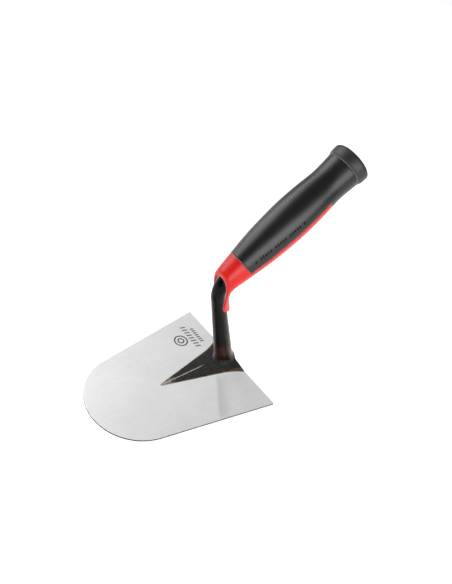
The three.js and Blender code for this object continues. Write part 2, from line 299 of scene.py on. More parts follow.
@dataclass(frozen=True)
class Layout:
    """The line of neck and handle, which several pieces share."""

    neck_setback: float = 7.1 * MM
    neck_lean: float = math.radians(19.7)
    bend_height: float = 95.0 * MM
    bend_tangent: float = 14.0 * MM
    handle_pitch: float = math.radians(39.8)
    collar_length: float = 24.3 * MM
    station: float = 1.1 * MM

    @property
    def heel(self) -> float:
        """The x of the blade's straight edge."""
        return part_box("blade")[1].x

    @property
    def blade_top(self) -> float:
        """The z of the blade's upper face."""
        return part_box("blade")[1].z

    @property
    def neck_base(self) -> Vector:
        """Where the neck's line meets the blade's upper face."""
        return Vector((self.heel - self.neck_setback, 0.0, self.blade_top))

    @property
    def neck_heading(self) -> Vector:
        """The direction up the neck."""
        return Vector((-math.sin(self.neck_lean), 0.0, math.cos(self.neck_lean)))

    @property
    def handle_heading(self) -> Vector:
        """The direction along the handle to its butt."""
        return Vector((math.cos(self.handle_pitch), 0.0, math.sin(self.handle_pitch)))

    @property
    def neck_length(self) -> float:
        """From the neck's base to the corner of the bend."""
        return (self.bend_height - self.blade_top) / math.cos(self.neck_lean)

    @property
    def corner(self) -> Vector:
        """Where the neck's line and the handle's line cross."""
        return self.neck_base + self.neck_heading * self.neck_length

    @property
    def grip_front(self) -> Vector:
        """Where the grip starts on the handle's line."""
        return self.corner + self.handle_heading * self.collar_length

    @property
    def handle_place(self) -> Matrix:
        """The handle's frame: +Z to the butt, +X to the underside, origin at the grip's front."""
        turn = Matrix.Rotation(math.pi / 2 - self.handle_pitch, 4, "Y")
        return Matrix.Translation(self.grip_front) @ turn

    @property
    def neck_place(self) -> Matrix:
        """The neck's frame: +Z up the neck, +X to its back, origin at the corner."""
        turn = Matrix.Rotation(-self.neck_lean, 4, "Y")
        return Matrix.Translation(self.corner) @ turn

    def line(self, below: float, beyond: float) -> list[tuple[float, Vector, Vector]]:
        """Follows the neck, the bend and the handle.

        Args:
            below: Where it starts, down the neck from the corner.
            beyond: Where it ends, along the handle from the corner.

        Returns:
            The distance run, the point and the heading of each station.
        """
        bend_start = self.corner - self.neck_heading * self.bend_tangent
        bend_end = self.corner + self.handle_heading * self.bend_tangent
        start = self.corner - self.neck_heading * below
        end = self.corner + self.handle_heading * beyond
        points: list[tuple[Vector, Vector]] = []

        def straight(first: Vector, last: Vector, heading: Vector) -> None:
            """Adds the stations of a straight stretch, without its last point."""
            count = max(2, round((last - first).length / self.station))
            points.extend((first.lerp(last, i / count), heading) for i in range(count))

        straight(start, bend_start, self.neck_heading)
        count = round(2.0 * self.bend_tangent / self.station)
        for i in range(count):
            share = i / count
            low = bend_start.lerp(self.corner, share)
            high = self.corner.lerp(bend_end, share)
            points.append((low.lerp(high, share), (high - low).normalized()))
        straight(bend_end, end, self.handle_heading)
        points.append((end, self.handle_heading))
        run = 0.0
        stations = []
        for i, (point, heading) in enumerate(points):
            run += (point - points[i - 1][0]).length if i else 0.0
            stations.append((run, point, heading))
        return stations


PLAN = Layout()


@dataclass(frozen=True)
class GripForm:
    """The grip's outline along the handle, shared by the sleeve, the panel and the core."""

    length: float = 104.3 * MM
    front: float = 12.1 * MM
    belly: float = 16.2 * MM
    waist: float = 14.35 * MM
    rear: float = 15.3 * MM
    belly_from_rear: float = 52.0 * MM
    waist_from_rear: float = 17.0 * MM
    wall: float = 2.2 * MM
    panel_rise: float = 0.4 * MM
    panel_from_rear: float = 25.5 * MM
    rings: int = 72
    sides: int = 128

    @property
    def panel_end(self) -> float:
        """The panel's rear end, along the handle."""
        return self.length - self.panel_from_rear

    def outline(self) -> list[tuple[float, float]]:
        """Pairs of distance along the handle and radius, on a Catmull-Rom curve."""
        belly_at = self.length - self.belly_from_rear
        waist_at = self.length - self.waist_from_rear
        swell = self.belly - self.front
        fall = self.belly - self.waist
        knots = [
            Vector((0.0, self.front)),
            Vector((belly_at / 3.0, self.front + 0.55 * swell)),
            Vector((belly_at / 1.5, self.front + 0.86 * swell)),
            Vector((belly_at, self.belly)),
            Vector(((belly_at + waist_at) / 2.0, self.belly - 0.35 * fall)),
            Vector((waist_at, self.waist)),
            Vector((self.length, self.rear)),
        ]
        points = []
        for i in range(self.rings + 1):
            place = i / self.rings * (len(knots) - 1)
            left = min(int(place), len(knots) - 2)
            share = place - left
            before = knots[max(left - 1, 0)]
            after = knots[min(left + 2, len(knots) - 1)]
            start_pull = (knots[left + 1] - before) / 2.0
            end_pull = (after - knots[left]) / 2.0
            square, cube = share**2, share**3
            point = (
                (2 * cube - 3 * square + 1) * knots[left]
                + (cube - 2 * square + share) * start_pull
                + (3 * square - 2 * cube) * knots[left + 1]
                + (cube - square) * end_pull
            )
            points.append((point.x, point.y))
        return points

    def radius_at(self, along: float) -> float:
        """The outer radius at a distance along the handle."""
        points = self.outline()
        for (x0, r0), (x1, r1) in zip(points, points[1:]):
            if along <= x1:
                return r0 + (r1 - r0) * (along - x0) / (x1 - x0)
        return points[-1][1]


GRIP = GripForm()


# ---- Shader nodes ----

Socket = bpy.types.NodeSocket
Feed = Socket | float | Sequence[float]


class Wires:
    """Adds nodes to one tree and joins them."""

    def __init__(self, tree: bpy.types.NodeTree) -> None:
        """Takes the tree that the nodes go into."""
        self.tree = tree

    def feed(self, socket: Socket, value: Feed) -> None:
        """Joins or sets one input."""
        if isinstance(value, bpy.types.NodeSocket):
            self.tree.links.new(value, socket)
        else:
            socket.default_value = value

    def node(self, kind: str, **settings: object) -> bpy.types.Node:
        """Adds a node and sets its properties."""
        made = self.tree.nodes.new(kind)
        for name, value in settings.items():
            setattr(made, name, value)
        return made

    def math(self, operation: str, *values: Feed, clamp: bool = False) -> Socket:
        """A Math node's result."""
        made = self.node("ShaderNodeMath", operation=operation, use_clamp=clamp)
        for socket, value in zip(made.inputs, values):
            self.feed(socket, value)
        return made.outputs[0]

    def vector(self, operation: str, first: Feed, second: Feed) -> Socket:
        """A Vector Math node's vector."""
        made = self.node("ShaderNodeVectorMath", operation=operation)
        self.feed(made.inputs[0], first)
        self.feed(made.inputs[1], second)
        return made.outputs[0]

    def split(self, vector: Socket) -> tuple[Socket, Socket, Socket]:
        """The three parts of a vector."""
        made = self.node("ShaderNodeSeparateXYZ")
        self.feed(made.inputs[0], vector)
        return made.outputs[0], made.outputs[1], made.outputs[2]

    def ease(self, value: Socket, low: float, high: float) -> Socket:
        """0 below low, 1 above high, smooth between. High may be under low."""
        made = self.node("ShaderNodeMapRange", interpolation_type="SMOOTHSTEP")
        self.feed(made.inputs["Value"], value)
        made.inputs["From Min"].default_value = low
        made.inputs["From Max"].default_value = high
        return made.outputs["Result"]

    def band(self, value: Socket, middle: float, half: float, soft: float) -> Socket:
        """1 within half of middle, falling to 0 over soft."""
        away = self.math("ABSOLUTE", self.math("SUBTRACT", value, middle))
        return self.ease(away, half + soft, half)

    def mix(self, share: Feed, first: Feed, second: Feed) -> Socket:
        """A colour between two."""
        made = self.node("ShaderNodeMix", data_type="RGBA")
        self.feed(made.inputs["Factor"], share)
        for name, value in (("A", first), ("B", second)):
            socket = next(
                s for s in made.inputs if s.name == name and s.type == "RGBA"
            )
            if not isinstance(value, bpy.types.NodeSocket):
                value = (*value, 1.0)
            self.feed(socket, value)
        return next(s for s in made.outputs if s.type == "RGBA")

    def blend(self, share: Feed, first: Feed, second: Feed) -> Socket:
        """A number between two."""
        made = self.node("ShaderNodeMix", data_type="FLOAT")
        self.feed(made.inputs["Factor"], share)
        self.feed(made.inputs["A"], first)
        self.feed(made.inputs["B"], second)
        return made.outputs["Result"]

    def noise(self, coords: Socket, scale: Feed, detail: float = 2.0) -> Socket:
        """A Noise Texture's factor."""
        made = self.node("ShaderNodeTexNoise")
        self.feed(made.inputs["Vector"], coords)
        self.feed(made.inputs["Scale"], scale)
        made.inputs["Detail"].default_value = detail
        return made.outputs["Factor"] if "Factor" in made.outputs else made.outputs[0]

    def scaled(self, coords: Socket, by: Sequence[float]) -> Socket:
        """Coordinates stretched axis by axis."""
        return self.vector("MULTIPLY", coords, tuple(by))

    def group(self, tree: bpy.types.NodeTree, **values: Feed) -> bpy.types.Node:
        """Places a node group, with values by socket name."""
        made = self.node("ShaderNodeGroup", node_tree=tree)
        for name, value in values.items():
            self.feed(made.inputs[name], value)
        return made

    def bump(self, height: Socket, strength: float, depth: float) -> Socket:
        """A Bump node's normal."""
        made = self.node("ShaderNodeBump")
        made.inputs["Strength"].default_value = strength
        made.inputs["Distance"].default_value = depth
        self.feed(made.inputs["Height"], height)
        return made.outputs["Normal"]


def new_group(
    name: str, inputs: Sequence[tuple[str, str, float]], outputs: Sequence[str]
) -> tuple[bpy.types.NodeTree, Wires, bpy.types.Node, bpy.types.Node]:
    """Starts a shader node group with named sockets.

    Args:
        name: The group's name.
        inputs: Name, kind ("Vector" or "Float") and default of each input.
        outputs: Name of each output, all numbers.

    Returns:
        The tree, its wires, and its input and output nodes.
    """
    tree = bpy.data.node_groups.new(name, "ShaderNodeTree")
    for socket_name, kind, default in inputs:
        socket = tree.interface.new_socket(
            socket_name, in_out="INPUT", socket_type=f"NodeSocket{kind}"
        )
        if kind == "Float":
            socket.default_value = default
    for socket_name in outputs:
        tree.interface.new_socket(
            socket_name, in_out="OUTPUT", socket_type="NodeSocketFloat"
        )
    wires = Wires(tree)
    return tree, wires, wires.node("NodeGroupInput"), wires.node("NodeGroupOutput")


def mottle_group() -> bpy.types.NodeTree:
    """Cloudy unevenness at two scales, around 0.5."""
    tree, wires, entry, leave = new_group(
        "Mottle", [("Coords", "Vector", 0.0), ("Scale", "Float", 60.0)], ["Value"]
    )
    wide = wires.noise(entry.outputs["Coords"], entry.outputs["Scale"], 4.0)
    fine_scale = wires.math("MULTIPLY", entry.outputs["Scale"], 9.0)
    fine = wires.noise(entry.outputs["Coords"], fine_scale, 2.0)
    wires.feed(leave.inputs["Value"], wires.blend(0.3, wide, fine))
    return tree


def scratch_group() -> bpy.types.NodeTree:
    """Fine grinding lines along X, and a few long hairlines across them."""
    tree, wires, entry, leave = new_group(
        "Grinding lines", [("Coords", "Vector", 0.0)], ["Lines", "Hairlines"]
    )
    coords = entry.outputs["Coords"]
    along = wires.noise(wires.scaled(coords, (60.0, 2600.0, 400.0)), 1.0, 3.0)
    wires.feed(leave.inputs["Lines"], along)
    turn = wires.node("ShaderNodeMapping")
    wires.feed(turn.inputs["Vector"], coords)
    turn.inputs["Rotation"].default_value = (0.0, 0.0, math.radians(37.0))
    turn.inputs["Scale"].default_value = (14.0, 900.0, 300.0)
    thin = wires.noise(turn.outputs["Vector"], 1.0, 1.0)
    wires.feed(leave.inputs["Hairlines"], wires.ease(thin, 0.7, 0.78))
    return tree


def grain_group() -> bpy.types.NodeTree:
    """The pebbled skin of a moulded part."""
    tree, wires, entry, leave = new_group(
        "Moulded grain", [("Coords", "Vector", 0.0), ("Scale", "Float", 1800.0)], ["Height"]
    )
    cells = wires.node("ShaderNodeTexVoronoi")
    wires.feed(cells.inputs["Vector"], entry.outputs["Coords"])
    wires.feed(cells.inputs["Scale"], entry.outputs["Scale"])
    soft = wires.noise(entry.outputs["Coords"], entry.outputs["Scale"], 2.0)
    wires.feed(leave.inputs["Height"], wires.blend(0.5, cells.outputs["Distance"], soft))
    return tree


def wear_group() -> bpy.types.NodeTree:
    """Where outward edges are rubbed, broken up by noise."""
    tree, wires, entry, leave = new_group(
        "Edge wear",
        [("Coords", "Vector", 0.0), ("Low", "Float", 0.53), ("High", "Float", 0.6)],
        ["Mask"],
    )
    edges = wires.node("ShaderNodeNewGeometry").outputs["Pointiness"]
    patchy = wires.noise(entry.outputs["Coords"], 300.0, 4.0)
    lifted = wires.math("ADD", edges, wires.math("MULTIPLY", patchy, 0.04))
    ramp = wires.node("ShaderNodeMapRange", interpolation_type="SMOOTHSTEP")
    wires.feed(ramp.inputs["Value"], lifted)
    wires.feed(ramp.inputs["From Min"], entry.outputs["Low"])
    wires.feed(ramp.inputs["From Max"], entry.outputs["High"])
    wires.feed(leave.inputs["Mask"], ramp.outputs["Result"])
    return tree


def dust_group() -> bpy.types.NodeTree:
    """Thin dust on faces that look up."""
    tree, wires, entry, leave = new_group(
        "Settled dust", [("Coords", "Vector", 0.0), ("Amount", "Float", 0.1)], ["Mask"]
    )
    facing = wires.split(wires.node("ShaderNodeNewGeometry").outputs["Normal"])[2]
    specks = wires.ease(wires.noise(entry.outputs["Coords"], 1400.0, 3.0), 0.5, 0.72)
    clouds = wires.noise(entry.outputs["Coords"], 90.0, 3.0)
    fallen = wires.math("MULTIPLY", wires.ease(facing, 0.2, 1.0), specks)
    spread = wires.math("MULTIPLY", fallen, clouds)
    wires.feed(
        leave.inputs["Mask"], wires.math("MULTIPLY", spread, entry.outputs["Amount"])
    )
    return tree


@dataclass(frozen=True)
class Effects:
    """The node groups that the finishes share."""

    mottle: bpy.types.NodeTree
    scratches: bpy.types.NodeTree
    grain: bpy.types.NodeTree
    wear: bpy.types.NodeTree
    dust: bpy.types.NodeTree


EFFECTS = Effects(
    mottle_group(), scratch_group(), grain_group(), wear_group(), dust_group()
)


class Coat:
    """One material being made: its Principled shader, its wires and its coordinates."""

    def __init__(self, name: str) -> None:
        """Starts a material with object coordinates."""
        self.material = bpy.data.materials.new(name)
        self.material.use_nodes = True
        tree = self.material.node_tree
        self.shader = next(n for n in tree.nodes if n.type == "BSDF_PRINCIPLED")
        self.wires = Wires(tree)
        self.coords = self.wires.node("ShaderNodeTexCoord").outputs["Object"]

    def set(self, **values: Feed) -> None:
        """Sets or joins the shader's sockets, with _ for a space in a socket's name."""
        for name, value in values.items():
            socket = self.shader.inputs[name.replace("_", " ")]
            if socket.type == "RGBA" and not isinstance(value, bpy.types.NodeSocket):
                value = (*value, 1.0)
            self.wires.feed(socket, value)

    def mottle(self, scale: float) -> Socket:
        """Cloudy unevenness around 0.5."""
        made = self.wires.group(EFFECTS.mottle, Coords=self.coords, Scale=scale)
        return made.outputs["Value"]

    def grain(self, scale: float) -> Socket:
        """The height of a moulded skin."""
        made = self.wires.group(EFFECTS.grain, Coords=self.coords, Scale=scale)
        return made.outputs["Height"]

    def wear(self, low: float, high: float) -> Socket:
        """The mask of rubbed edges."""
        made = self.wires.group(EFFECTS.wear, Coords=self.coords, Low=low, High=high)
        return made.outputs["Mask"]

    def dust(self, amount: float) -> Socket:
        """The mask of settled dust."""
        made = self.wires.group(EFFECTS.dust, Coords=self.coords, Amount=amount)
        return made.outputs["Mask"]

    def on_handle(self) -> tuple[Socket, Socket]:
        """The distance along the handle, and the angle round it from the underside."""
        place = self.wires.node("ShaderNodeMapping", vector_type="TEXTURE")
        self.wires.feed(place.inputs["Vector"], self.coords)
        place.inputs["Location"].default_value = PLAN.grip_front
        place.inputs["Rotation"].default_value = (
            0.0,
            math.pi / 2 - PLAN.handle_pitch,
            0.0,
        )
        under, across, along = self.wires.split(place.outputs["Vector"])
        return along, self.wires.math("ARCTAN2", across, under)


# ---- Finishes ----


@dataclass(frozen=True)
class EtchedMark:
    """A plain ring and two rows of ticks, etched near the heel."""

    ring_x: float = 39.0 * MM
    ring_y: float = 33.0 * MM
    ring_radius: float = 5.6 * MM
    line: float = 0.5 * MM
    row_x: tuple[float, float] = (49.5 * MM, 56.0 * MM)
    row_y: tuple[float, float] = (33.5 * MM, 33.0 * MM)
    row_half: tuple[float, float] = (13.0 * MM, 9.0 * MM)
    tick_half: tuple[float, float] = (2.3 * MM, 1.5 * MM)
    tick_pitch: tuple[float, float] = (3.4 * MM, 2.6 * MM)
    soft: float = 0.25 * MM

    def mask(self, coat: Coat) -> Socket:
        """1 on the etched lines."""
        wires = coat.wires
        x, y, _ = wires.split(coat.coords)
        from_x = wires.math("SUBTRACT", x, self.ring_x)
        from_y = wires.math("SUBTRACT", y, self.ring_y)
        reach = wires.math(
            "SQRT",
            wires.math(
                "ADD",
                wires.math("POWER", from_x, 2.0),
                wires.math("POWER", from_y, 2.0),
            ),
        )
        total = wires.band(reach, self.ring_radius, self.line, self.soft)
        total = wires.math(
            "MAXIMUM",
            total,
            wires.band(reach, self.ring_radius * 0.45, self.line, self.soft),
        )
        rows = zip(self.row_x, self.row_y, self.row_half, self.tick_half, self.tick_pitch)
        for at, middle, half, tick, pitch in rows:
            across = wires.band(x, at, tick, self.soft)
            within = wires.band(y, middle, half, self.soft)
            lean = wires.math("ADD", y, wires.math("MULTIPLY", x, 0.25))
            step = wires.math("PINGPONG", lean, pitch / 2.0)
            stroke = wires.ease(step, self.line + self.soft, self.line)
            row = wires.math("MULTIPLY", wires.math("MULTIPLY", across, within), stroke)
            total = wires.math("MAXIMUM", total, row)
        return total


@dataclass(frozen=True)
class BladeSteel:
    """Ground and polished sheet steel."""

    bright: Colour = (0.86, 0.862, 0.865)
    dull: Colour = (0.78, 0.782, 0.79)
    # edge: painted shade, near black on the upright rim faces, standing in for the dark that they
    # reflect
    edge: Colour = (0.015, 0.015, 0.016)
    speck: Colour = (0.2, 0.2, 0.205)
    # band: the colour of painted shade, a dark band beside the foot
    band: Colour = (0.6, 0.605, 0.615)
    etched: Colour = (0.03, 0.03, 0.032)
    mark: EtchedMark = EtchedMark()

    def material(self) -> bpy.types.Material:
        """Builds the material."""
        coat = Coat("blade_steel")
        wires = coat.wires
        clouds = coat.mottle(28.0)
        lines = wires.group(EFFECTS.scratches, Coords=coat.coords)
        smear = wires.blend(0.45, clouds, lines.outputs["Lines"])
        colour = wires.mix(wires.ease(smear, 0.3, 0.72), self.dull, self.bright)
        colour = wires.mix(
            wires.math("MULTIPLY", lines.outputs["Hairlines"], 0.12), colour, self.dull
        )
        specks = wires.ease(wires.noise(coat.coords, 700.0, 0.0), 0.83, 0.86)
        colour = wires.mix(wires.math("MULTIPLY", specks, 0.3), colour, self.speck)
        # Painted shade: a darker band beside the foot, standing in for the shade and reflection
        # of the shank and handle
        colour = wires.mix(self._painted_shade_band(coat), colour, self.band)
        normal = wires.node("ShaderNodeNewGeometry").outputs["True Normal"]
        upright = wires.math("ABSOLUTE", wires.split(normal)[2])
        side = wires.ease(upright, 0.95, 0.7)
        # Painted shade: the upright rim faces are made near black, standing in for the dark that
        # they reflect; they are also rougher
        colour = wires.mix(side, colour, self.edge)
        etched = wires.math(
            "MULTIPLY",
            self.mark.mask(coat),
            wires.ease(wires.split(normal)[2], 0.5, 0.9),
        )
        broken = wires.ease(wires.noise(coat.coords, 1500.0, 2.0), 0.22, 0.4)
        etched = wires.math("MULTIPLY", etched, broken)
        colour = wires.mix(wires.math("MULTIPLY", etched, 0.9), colour, self.etched)
        rough = wires.blend(clouds, 0.44, 0.54)
        rough = wires.math("ADD", rough, wires.math("MULTIPLY", side, 0.15))
        rough = wires.math("ADD", rough, wires.math("MULTIPLY", etched, 0.3))
        height = wires.math("SUBTRACT", lines.outputs["Lines"], etched)
        coat.set(
            Base_Color=colour,
            Metallic=1.0,
            Roughness=rough,
            Normal=wires.bump(height, 0.12, 0.02 * MM),
        )
        return coat.material


    def _painted_shade_band(self, coat: Coat) -> Socket:
        """The mask of painted shade: a dark band on the near side, standing in for the shade and
        dark reflection of the shank and handle above it.
        """
        wires = coat.wires
        place = wires.node("ShaderNodeMapping", vector_type="TEXTURE")
        wires.feed(place.inputs["Vector"], coat.coords)
        place.inputs["Location"].default_value = (33.0 * MM, -32.5 * MM, 0.0)
        place.inputs["Rotation"].default_value = (0.0, 0.0, math.radians(56.0))
        along, across, _ = wires.split(place.outputs["Vector"])
        wavy = wires.math("MULTIPLY", wires.noise(coat.coords, 90.0, 2.0), 3.0 * MM)
        across = wires.math("SUBTRACT", wires.math("ADD", across, wavy), 1.5 * MM)
        near = wires.ease(across, 4.5 * MM, 1.5 * MM)
        fade = wires.ease(across, -16.0 * MM, 2.0 * MM)
        reach = wires.band(along, 0.0, 16.0 * MM, 12.0 * MM)
        both = wires.math("MULTIPLY", near, wires.math("POWER", fade, 2.0))
        return wires.math("MULTIPLY", wires.math("MULTIPLY", both, reach), 0.75)


@dataclass(frozen=True)
class ShankLacquer:
    """Black lacquer on a forging, ground bare along the foot's ridge and tip."""

    black: Colour = (0.0015, 0.0014, 0.0012)
    lifted: Colour = (0.004, 0.0038, 0.0034)
    scale: Colour = (0.036, 0.035, 0.034)
    rust: Colour = (0.035, 0.009, 0.007)
    scorched: Colour = (0.14, 0.075, 0.04)
    bare: Colour = (0.6, 0.59, 0.57)
    foot_length: float = 73.0 * MM
    foot_half: float = 17.6 * MM
    tip_half: float = 0.8 * MM

    def material(self) -> bpy.types.Material:
        """Builds the material."""
        coat = Coat("shank_lacquer")
        wires = coat.wires
        x, y, z = wires.split(coat.coords)
        clouds = coat.mottle(120.0)
        ragged = wires.noise(wires.scaled(coat.coords, (300.0, 900.0, 900.0)), 1.0, 4.0)
        jitter = wires.math("SUBTRACT", ragged, 0.5)
        low = wires.ease(z, 9.0 * MM, 6.0 * MM)
        ahead = wires.math("SUBTRACT", x, PLAN.heel - self.foot_length)
        along = wires.math("DIVIDE", ahead, self.foot_length)
        half = wires.math(
            "MULTIPLY_ADD", along, self.foot_half - self.tip_half, self.tip_half
        )
        off = wires.math("ABSOLUTE", y)
        side = wires.math("DIVIDE", off, half)
        rim = wires.math("ADD", side, wires.math("MULTIPLY", jitter, 0.35))
        rim = wires.math("MULTIPLY", wires.ease(rim, 0.86, 1.0), low)
        tip = wires.math("ADD", along, wires.math("MULTIPLY", jitter, 0.3))
        tip = wires.math("MULTIPLY", wires.ease(tip, 0.2, 0.02), low)
        crest = wires.math("ADD", off, wires.math("MULTIPLY", jitter, 0.9 * MM))
        crest = wires.ease(crest, 0.55 * MM, 0.1 * MM)
        reach = wires.ease(along, 0.62, 0.5)
        crest = wires.math("MULTIPLY", wires.math("MULTIPLY", crest, reach), low)
        rubbed = wires.math("MULTIPLY", coat.wear(0.6, 0.68), low)
        bare = wires.math("MAXIMUM", wires.math("MULTIPLY", tip, 0.4), crest)
        bare = wires.math("MAXIMUM", bare, wires.math("MULTIPLY", rubbed, 0.35))
        warm = wires.math("MULTIPLY", wires.band(z, 18.0 * MM, 2.0 * MM, 14.0 * MM), clouds)
        colour = wires.mix(wires.ease(clouds, 0.35, 0.7), self.black, self.lifted)
        colour = wires.mix(wires.ease(warm, 0.1, 0.7), colour, self.rust)
        colour = wires.mix(wires.math("MULTIPLY", low, ragged), colour, self.scale)
        colour = wires.mix(wires.math("MULTIPLY", rim, 0.55), colour, self.scorched)
        colour = wires.mix(wires.math("MULTIPLY", tip, 0.6), colour, self.scorched)
        colour = wires.mix(wires.math("MULTIPLY", bare, 0.8), colour, self.bare)
        dust = coat.dust(0.12)
        colour = wires.mix(dust, colour, (0.5, 0.49, 0.47))
        rough = wires.blend(wires.ease(clouds, 0.3, 0.7), 0.12, 0.26)
        rough = wires.blend(bare, rough, 0.42)
        rough = wires.blend(rim, rough, 0.5)
        coat.set(
            Base_Color=colour,
            Roughness=rough,
            Metallic=wires.math("MULTIPLY", bare, 0.9),
            Specular_IOR_Level=0.08,
            Normal=wires.bump(wires.blend(0.5, clouds, ragged), 0.12, 0.1 * MM),
        )
        return coat.material


@dataclass(frozen=True)
class RedPlastic:
    """Semi-gloss moulded polypropylene."""

    red: Colour = (0.48, 0.007, 0.005)
    deep: Colour = (0.43, 0.005, 0.004)

    def material(self) -> bpy.types.Material:
        """Builds the material."""
        coat = Coat("core_plastic")
        wires = coat.wires
        clouds = coat.mottle(90.0)
        colour = wires.mix(wires.ease(clouds, 0.3, 0.7), self.deep, self.red)
        colour = wires.mix(
            wires.math("MULTIPLY", coat.wear(0.6, 0.68), 0.25), colour, (0.85, 0.1, 0.08)
        )
        colour = wires.mix(coat.dust(0.1), colour, (0.8, 0.6, 0.55))
        coat.set(
            Base_Color=colour,
            Roughness=wires.blend(clouds, 0.26, 0.38),
            Specular_IOR_Level=0.25,
            Normal=wires.bump(coat.grain(2200.0), 0.08, 0.03 * MM),
        )
        return coat.material


@dataclass(frozen=True)
class GripRubber:
    """Satin soft-touch rubber."""

    name: str = "grip_rubber"
    black: Colour = (0.003, 0.003, 0.0028)
    grey: Colour = (0.006, 0.006, 0.0056)
    smooth: float = 0.3
    rough: float = 0.4
    sheen: float = 0.35

    def material(self) -> bpy.types.Material:
        """Builds the material."""
        coat = Coat(self.name)
        wires = coat.wires
        clouds = coat.mottle(70.0)
        colour = wires.mix(wires.ease(clouds, 0.3, 0.7), self.black, self.grey)
        colour = wires.mix(
            wires.math("MULTIPLY", coat.wear(0.6, 0.68), 0.3), colour, (0.12, 0.12, 0.12)
        )
        colour = wires.mix(coat.dust(0.05), colour, (0.4, 0.4, 0.39))
        coat.set(
            Base_Color=colour,
            Roughness=wires.blend(clouds, self.smooth, self.rough),
            Specular_IOR_Level=self.sheen,
            Normal=wires.bump(coat.grain(1500.0), 0.16, 0.05 * MM),
        )
        return coat.material


@dataclass(frozen=True)
class CapPlastic:
    """Hard moulded plastic with fine ribs along the handle."""

    dark: Colour = (0.009, 0.0095, 0.01)
    light: Colour = (0.016, 0.017, 0.0175)
    ribs: int = 150

    def material(self) -> bpy.types.Material:
        """Builds the material."""
        coat = Coat("cap_plastic")
        wires = coat.wires
        clouds = coat.mottle(110.0)
        along, angle = coat.on_handle()
        wave = wires.math("SINE", wires.math("MULTIPLY", angle, float(self.ribs)))
        flank = wires.ease(along, GRIP.length + 3.4 * MM, GRIP.length + 4.0 * MM)
        ribbed = wires.math("MULTIPLY", wave, flank)
        height = wires.blend(0.6, coat.grain(1700.0), ribbed)
        colour = wires.mix(wires.ease(clouds, 0.3, 0.7), self.dark, self.light)
        colour = wires.mix(
            wires.math("MULTIPLY", coat.wear(0.58, 0.66), 0.15), colour, (0.16, 0.165, 0.17)
        )
        colour = wires.mix(coat.dust(0.05), colour, (0.4, 0.4, 0.39))
        coat.set(
            Base_Color=colour,
            Roughness=wires.blend(clouds, 0.38, 0.5),
            Specular_IOR_Level=0.35,
            Normal=wires.bump(height, 0.3, 0.06 * MM),
        )
        return coat.material


@dataclass(frozen=True)
class ZincPlate:
    """Bright zinc plating."""

    bright: Colour = (0.72, 0.73, 0.74)
    dull: Colour = (0.55, 0.57, 0.6)

    def material(self) -> bpy.types.Material:
        """Builds the material."""
        coat = Coat("washer_steel")
        wires = coat.wires
        clouds = coat.mottle(400.0)
        colour = wires.mix(wires.ease(clouds, 0.35, 0.65), self.dull, self.bright)
        coat.set(
            Base_Color=colour,
            Metallic=1.0,
            Roughness=wires.blend(clouds, 0.22, 0.42),
            Normal=wires.bump(clouds, 0.1, 0.02 * MM),
        )
        return coat.material


@dataclass(frozen=True)
class Paper:
    """A seamless white floor."""

    white: Colour = (0.93, 0.93, 0.93)
    lift: float = 0.5

    def material(self) -> bpy.types.Material:
        """Builds the material."""
        coat = Coat("paper")
        fibre = coat.mottle(40.0)
        coat.set(
            Base_Color=coat.wires.mix(fibre, (0.925, 0.925, 0.925), self.white),
            Roughness=0.9,
            Emission_Color=(1.0, 1.0, 1.0),
            Emission_Strength=self.lift,
        )
        return coat.material


# ---- Pieces ----


def dress(
    piece: bpy.types.Object, slot: str, stands_for: str, *materials: bpy.types.Material
) -> bpy.types.Object:
    """Gives a new piece its finish and its place in the frame.

    Args:
        piece: The new piece.
        slot: The record's material slot; not used.
        stands_for: The CAD node that the piece replaces.
        *materials: The piece's materials, the first one for all faces by default.

    Returns:
        The same piece.
    """
    for material in materials:
        piece.data.materials.append(material)
    piece.visible_glossy = stands_for == "blade"
    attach(piece, "root")
    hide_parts(stands_for)
    return piece


